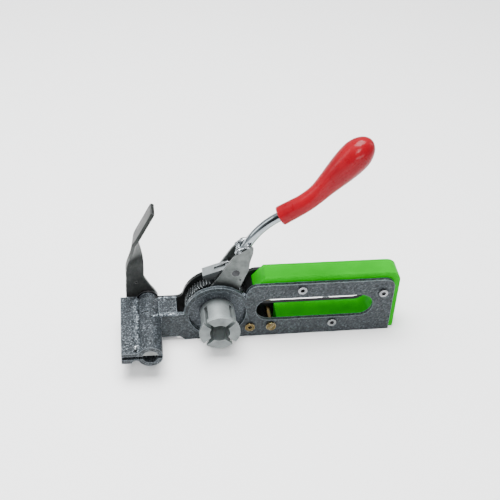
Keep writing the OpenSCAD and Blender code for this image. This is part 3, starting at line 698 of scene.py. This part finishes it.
def foot_sections():
    """The lever's half-round end round its shaft, then its tapered foot."""
    arc_steps = 15
    blur = (-1.5, 0, 1.5)
    sections = []
    for k in range(1, arc_steps):
        a = math.pi / 2 * k / arc_steps
        centre = FOOT - FOOT_RADIUS * math.cos(a) * UP
        sections.append(bar_section(2 * FOOT_RADIUS * math.sin(a), BAR_THICKNESS, centre))
    for k in range(TWIST_FROM - int(FOOT.z)):
        height = FOOT.z + k
        nearby = [(between(height + d, LEFT_FLANK), between(height + d, RIGHT_FLANK)) for d in blur]
        left, right = (sum(pair[i] for pair in nearby) / len(blur) for i in (0, 1))
        sections.append(bar_section(right - left, BAR_THICKNESS, Vector(((left + right) / 2, 0, height))))
    return sections


def twisted_centre(s):
    """Centre of the bar s millimetres above its foot."""
    straight = LEAN_FROM - TWIST_FROM
    leaned = max(0.0, s - straight)
    lean = math.radians(LEAN)
    x = BAR_X + BAR_DRIFT * smooth(s / straight) + leaned * math.sin(lean)
    return Vector((x, 0, TWIST_FROM + min(s, straight) + leaned * math.cos(lean)))


def twisted_sections():
    """The bar's quarter twist, and the paddle that leans over at its top."""
    straight = LEAN_FROM - TWIST_FROM
    total = straight + PADDLE_LENGTH
    end_bevel = 0.5
    bend = 10
    twist_length = straight + 6
    steps = 56
    sections = []
    for k in range(steps + 1):
        s = total * k / steps
        cut = max(0.0, s - total + end_bevel)
        lean = math.radians(LEAN * smooth((s - straight + bend / 2) / bend))
        twist = math.radians(90 * smooth(s / twist_length))
        across = Vector((math.cos(lean), 0, -math.sin(lean)))
        wide = across * math.cos(twist) + ALONG_Y * math.sin(twist)
        thin = ALONG_Y * math.cos(twist) - across * math.sin(twist)
        thickness = BAR_THICKNESS - 0.04 - 1.2 * cut
        sections.append(bar_section(BAR_WIDTH - 2 * cut, thickness, twisted_centre(s), wide, thin))
    return sections


def cutter_lever(made):
    y = (high("cutter_collar").y + high("cutter_shaft").y) / 2 / MM
    bm = skin([[mm(p.x, p.y + y, p.z) for p in ring] for ring in foot_sections() + twisted_sections()])
    lever = piece_from(bm, "cutter_lever_bar", made["black_steel"], "cutter", ["cutter_lever"])
    x, z, radius = HANG_HOLE
    drill(lever, mm(x, y - BAR_THICKNESS, z), mm(x, y + BAR_THICKNESS, z), radius)


# ---------------------------------------------------------------- springs

WIRE_SIDES = 14
WIRE_STEP = 0.45


def coil(centre, radius, y0, y1, start, sweep, step=10):
    """Points of a helix along Y, round a centre, that turns from start through sweep degrees."""
    count = round(sweep / step)
    turns = [(math.radians(start + sweep * k / count), k / count) for k in range(count + 1)]
    return [mm(centre.x + radius * math.cos(a), y0 + (y1 - y0) * t, centre.z + radius * math.sin(a))
            for a, t in turns]


def spring(name, points, radius, made, body, node):
    path = resampled(points, WIRE_STEP * MM)
    piece_from(tube(path, radius * MM, WIRE_SIDES), name, made["spring_steel"], body, [node])


def springs(made):
    pin = middle("drive_pawl_pin") / MM
    wire = 0.45
    y0, y1 = low("drive_pawl_spring").y / MM + wire, high("drive_pawl_spring").y / MM - wire
    pawl_leg = [mm(2.8, y0, 36.4), mm(8.2, y0, 38.3)]
    yoke_leg = [mm(pin.x + 3.6, y1, pin.z + 9.5)]
    spring("drive_pawl_torsion_spring", pawl_leg + coil(pin, 4.1, y0, y1, 96, 960) + yoke_leg,
           wire, made, "drive_pawl", "drive_pawl_spring")
    pivot = middle("holding_pawl_screw") / MM
    post = middle("spring_post_screw") / MM
    wire = 0.4
    y0, y1 = low("holding_pawl_spring").y / MM + wire, low("holding_pawl").y / MM - 1.1
    post_leg = [mm(post.x + 1, y0, post.z + 3)]
    pawl_leg = [mm(pivot.x + 4.1, y1 + 0.3, pivot.z + 7.5), mm(pivot.x + 3.9, y1 + 2.4, pivot.z + 10)]
    spring("holding_pawl_torsion_spring", post_leg + coil(pivot, 4.7, y0, y1, 96, 984) + pawl_leg,
           wire, made, "frame", "holding_pawl_spring")


# ---------------------------------------------------------------- nuts

# each nut node: its piece's name, width across flats, bore radius, and the screws that its nuts are on
NUTS = {
    "frame_nuts": ("frame_hex_nuts", 8, 2.55, ["holding_pawl_screw", "spring_post_screw"]),
    "handle_nuts": ("handle_hex_nuts", 7, 2.05, ["handle_screws"]),
}
SIXTH = math.pi / 3


def hex_nut(bm, x, z, y0, y1, flats, bore):
    """A chamfered hexagon nut along Y, with its faces' arcs cut where the chamfer meets the flats."""
    face = 0.94 * flats / 2
    slope = math.tan(math.radians(30))
    steps = 72
    # loops round the nut as (y, radius, way that the chamfer drops); no radius means the hexagon itself
    courses = [(y0, bore, 0), (y0, face, 0), (y0, None, 1), (y1, None, -1), (y1, face, 0), (y1, bore, 0)]
    loops = []
    for y, radius, drop in courses:
        loop = []
        for k in range(steps):
            a = 2 * math.pi * k / steps
            reach = flats / 2 / math.cos((a + SIXTH / 2) % SIXTH - SIXTH / 2)
            r = reach if radius is None else radius
            shift = drop * slope * max(0.0, reach - face)
            loop.append(bm.verts.new(mm(x + r * math.cos(a), y + shift, z + r * math.sin(a))))
        loops.append(loop)
    for near, far in zip(loops, loops[1:] + loops[:1]):
        for k in range(steps):
            bm.faces.new((near[k], near[(k + 1) % steps], far[(k + 1) % steps], far[k]))


def nuts(made):
    for node, (name, flats, bore, screws) in NUTS.items():
        bm = bmesh.new()
        y0, y1 = low(node).y / MM, high(node).y / MM
        for centre in (centre for screw in screws for centre in islands(screw)):
            hex_nut(bm, centre.x, centre.z, y0, y1, flats, bore)
        nut = piece_from(bm, name, made[SLOT_OF[node]], "frame", [node])
        nut.data.set_sharp_from_angle(angle=math.radians(25))


def islands(node):
    """Centres, in millimetres, of the separate solids in one node."""
    bm = bmesh.new()
    bm.from_mesh(frame["nodes"][node].data)
    bmesh.ops.remove_doubles(bm, verts=bm.verts, dist=SAME_POINT)
    left, centres = set(bm.verts), []
    while left:
        group, edge = set(), {left.pop()}
        while edge:
            group |= edge
            edge = {e.other_vert(v) for v in edge for e in v.link_edges} - group
        left -= group
        spans = [(min(v.co[i] for v in group), max(v.co[i] for v in group)) for i in range(3)]
        centres.append(Vector([(start + end) / 2 / MM for start, end in spans]))
    bm.free()
    return sorted(centres, key=lambda c: c.x)


# ---------------------------------------------------------------- welds

def frame_bead(name, points, radius, seed, material, **shape):
    weld_bead(name, points, radius, seed, "frame", "frame_paint", material, **shape)


def nose_welds(made):
    """Beads where the foot meets the barrel."""
    barrel = middle("cutter_barrel") / MM
    y0, y1 = low("cutter_barrel").y / MM, high("cutter_barrel").y / MM
    inset, steps = 1.6, 16
    seam = [mm(barrel.x - 8.9 + 0.5 * math.sin(0.9 * k), y0 + inset + (y1 - y0 - 2 * inset) * k / steps,
               barrel.z + 4.0) for k in range(steps + 1)]
    lump = [mm(barrel.x - 10.3, y0 + 2.2, barrel.z + 5.5), mm(barrel.x - 9.9, y0 + 5.6, barrel.z + 5.9)]
    frame_bead("foot_weld", seam, 2.6, 3.1, made["paint_on_foot_weld"], lumps=0.45, crust=0.3)
    frame_bead("foot_lump_weld", lump, 1.3, 8.3, made["bright_weld"], lumps=0.6, crust=0.2)


def barrel_arc():
    """Points round the front of the barrel, where the arm's side plate meets it."""
    barrel = middle("cutter_barrel") / MM
    radius, start, sweep, steps = 9.0, 30, -88, 14
    y = low("front_side_plate").y / MM + 0.1
    turns = (math.radians(start + sweep * k / steps) for k in range(steps + 1))
    return [mm(barrel.x + radius * math.cos(a), y, barrel.z + radius * math.sin(a)) for a in turns]


def arm_welds(made):
    """Beads along the arm's web, round and across the barrel, and at the root of the hand grip."""
    painted = made["paint_on_weld"]
    front, back = low("front_side_plate").y / MM, high("rear_side_plate").y / MM
    web_end, top = high("arm_web").x / MM, high("arm_web").z / MM
    ridge = [mm(-48.6, front - 3.4, 5.2), mm(-46.6, front - 4.0, 4.4), mm(-44.4, front - 1.4, 2.6),
             mm(-42.4, front + 0.3, 1.2), mm(-38, front + 0.6, top - 0.1),
             mm(web_end + 3, front + 0.6, top - 0.3)]
    lump = [mm(-45.9, front - 3.0, 4.0), mm(-44.0, front - 1.0, 2.4)]
    rear_ridge = [mm(-43.5, back - 2.6, top - 0.2), mm(web_end + 1, back - 2.6, top - 0.2)]
    corner = [mm(-47.6, front + 0.2, 0.2), mm(-47.3, front + 2.6, 1.0), mm(-47.6, front + 5.5, 1.2)]
    across = [mm(-46.2, y, 1.0) for y in (front + 5, front + 16.5)]
    valley = [mm(19.7, front + 0.5, 15.4), mm(19.9, front + 2.5, 15.6)]
    frame_bead("web_front_weld", ridge, 1.25, 7.7, painted, lumps=0.4)
    frame_bead("web_lump_weld", lump, 1.35, 9.6, made["bright_weld"], lumps=0.5, crust=0.2)
    frame_bead("web_rear_weld", rear_ridge, 0.9, 1.9, painted)
    frame_bead("barrel_front_weld", barrel_arc(), 1.0, 5.3, painted, side_way=ALONG_Y)
    frame_bead("web_corner_weld", corner, 1.5, 2.2, painted, lumps=0.4)
    frame_bead("web_barrel_weld", across, 1.0, 4.4, painted)
    frame_bead("grip_root_weld", valley, 1.7, 6.2, painted, lumps=0.4)


def yoke_welds(made):
    """Beads that fasten the rod and the block to the yoke's two cheeks."""
    front, rear = high("yoke_front_cheek").y / MM, low("yoke_rear_cheek").y / MM
    centre = (front + rear) / 2
    edge = [(13.2, 50.6), (16.6, 53.6), (20.2, 55.4), (23.0, 57.0)]
    front_edge, rear_edge = ([mm(x, y, z) for x, z in edge] for y in (front + 0.3, rear - 0.3))
    saddle = [mm(16.2, front + 0.6, 53.0), mm(15.6, centre - 2, 51.7), mm(15.6, centre + 2, 51.7),
              mm(16.2, rear - 0.6, 53.0)]
    low_edge = [mm(14.2, front + 0.5, 47.9), mm(14.0, centre, 47.5), mm(14.2, rear - 0.5, 47.9)]
    for name, points, radius, seed, side_way, lumps, crust in (
            ("front", front_edge, 1.9, 11.0, ALONG_Y, 0.7, 0.1),
            ("rear", rear_edge, 1.9, 17.0, ALONG_Y, 0.7, 0.1),
            ("saddle", saddle, 1.7, 23.0, UP, 0.7, 0.1),
            ("lower", low_edge, 1.1, 29.0, UP, 0.5, 0.22)):
        weld_bead("yoke_" + name + "_weld", points, radius, seed, "lever", "yoke_zinc", made["bright_weld"],
                  side_way, lumps, crust)


# ---------------------------------------------------------------- stage, light and camera

def camera():
    """The photograph's view: from the front left, looking down."""
    data = bpy.data.cameras.new("camera")
    data.lens = 65.8
    data.sensor_width = 36
    data.clip_start = 0.01
    data.clip_end = 20
    eye = bpy.data.objects.new("camera", data)
    right, up = Vector((0.99230, -0.11759, 0.03895)), Vector((0.04391, 0.62796, 0.77700))
    back = right.cross(up).normalized()
    eye.matrix_world = Matrix((right, up, back)).transposed().to_4x4()
    eye.location = mm(-52.27, -482.42, 461.87)
    bpy.context.collection.objects.link(eye)
    bpy.context.scene.camera = eye


# each softbox: where it stands, what it faces, its size in metres and its watts
SOFTBOXES = {
    "top_softbox": ((-0.1, 0.15, 1.2), (0.02, 0, 0), (0.8, 0.8), 46),
    "front_softbox": ((-0.3, -1.0, 1.2), (0.02, 0, 0), (0.5, 0.5), 13),
    "low_softbox": ((0.2, -1.3, 0.3), (0.02, 0, 0.02), (0.9, 0.3), 7),
    "left_softbox": ((-1.1, 0.1, 0.6), (0, 0, 0.02), (0.4, 0.8), 4),
    "right_softbox": ((1.2, 0.2, 0.7), (0.03, 0, 0.02), (0.4, 0.8), 3),
}


def area_light(name, place, target, size, power):
    data = bpy.data.lights.new(name, "AREA")
    data.shape = "RECTANGLE"
    data.size, data.size_y = size
    data.energy = power
    lamp = bpy.data.objects.new(name, data)
    lamp.location = place
    lamp.rotation_mode = "QUATERNION"
    lamp.rotation_quaternion = (Vector(target) - Vector(place)).to_track_quat("-Z", "Y")
    bpy.context.collection.objects.link(lamp)


def floor():
    bm = bmesh.new()
    bmesh.ops.create_grid(bm, x_segments=2, y_segments=2, size=6)
    mesh = bpy.data.meshes.new("floor")
    bm.to_mesh(mesh)
    bm.free()
    sheet = bpy.data.objects.new("floor", mesh)
    sheet.location.z = cad_box[0].z
    bpy.context.collection.objects.link(sheet)
    paper = Shader("white_paper", Roughness=0.9)
    mesh.materials.append(paper.finish(paper.blend(paper.noise(3), (0.90, 0.90, 0.90), (0.93, 0.93, 0.93))))


# the way to the studio's unlit side, which gives bright metal its dark core, and how its light fades there
DARK_SIDE = Vector((-0.08, -0.76, 0.65))
SKY_COLOR = (0.95, 0.98, 1.0, 1)
SKY_FADE = {"From Min": 0.40, "From Max": 0.88, "To Min": 0.95, "To Max": 0.06}


def sky():
    world = bpy.data.worlds.new("studio")
    bpy.context.scene.world = world
    world.use_nodes = True
    tree = world.node_tree
    background = tree.nodes["Background"]
    background.inputs["Color"].default_value = SKY_COLOR
    way = tree.nodes.new("ShaderNodeTexCoord")
    towards = tree.nodes.new("ShaderNodeVectorMath")
    towards.operation = "DOT_PRODUCT"
    towards.inputs[1].default_value = DARK_SIDE
    fade = tree.nodes.new("ShaderNodeMapRange")
    fade.interpolation_type = "SMOOTHSTEP"
    for key, value in SKY_FADE.items():
        fade.inputs[key].default_value = value
    tree.links.new(way.outputs["Generated"], towards.inputs[0])
    tree.links.new(towards.outputs["Value"], fade.inputs["Value"])
    tree.links.new(fade.outputs["Result"], background.inputs["Strength"])


made = materials()
cad_pieces(made)
lever_rod(made)
lever_grip(made)
cutter_lever(made)
springs(made)
nuts(made)
nose_welds(made)
arm_welds(made)
yoke_welds(made)
floor()
sky()
for name, (place, target, size, power) in SOFTBOXES.items():
    area_light(name, place, target, size, power)
camera()
bpy.context.view_layer.update()
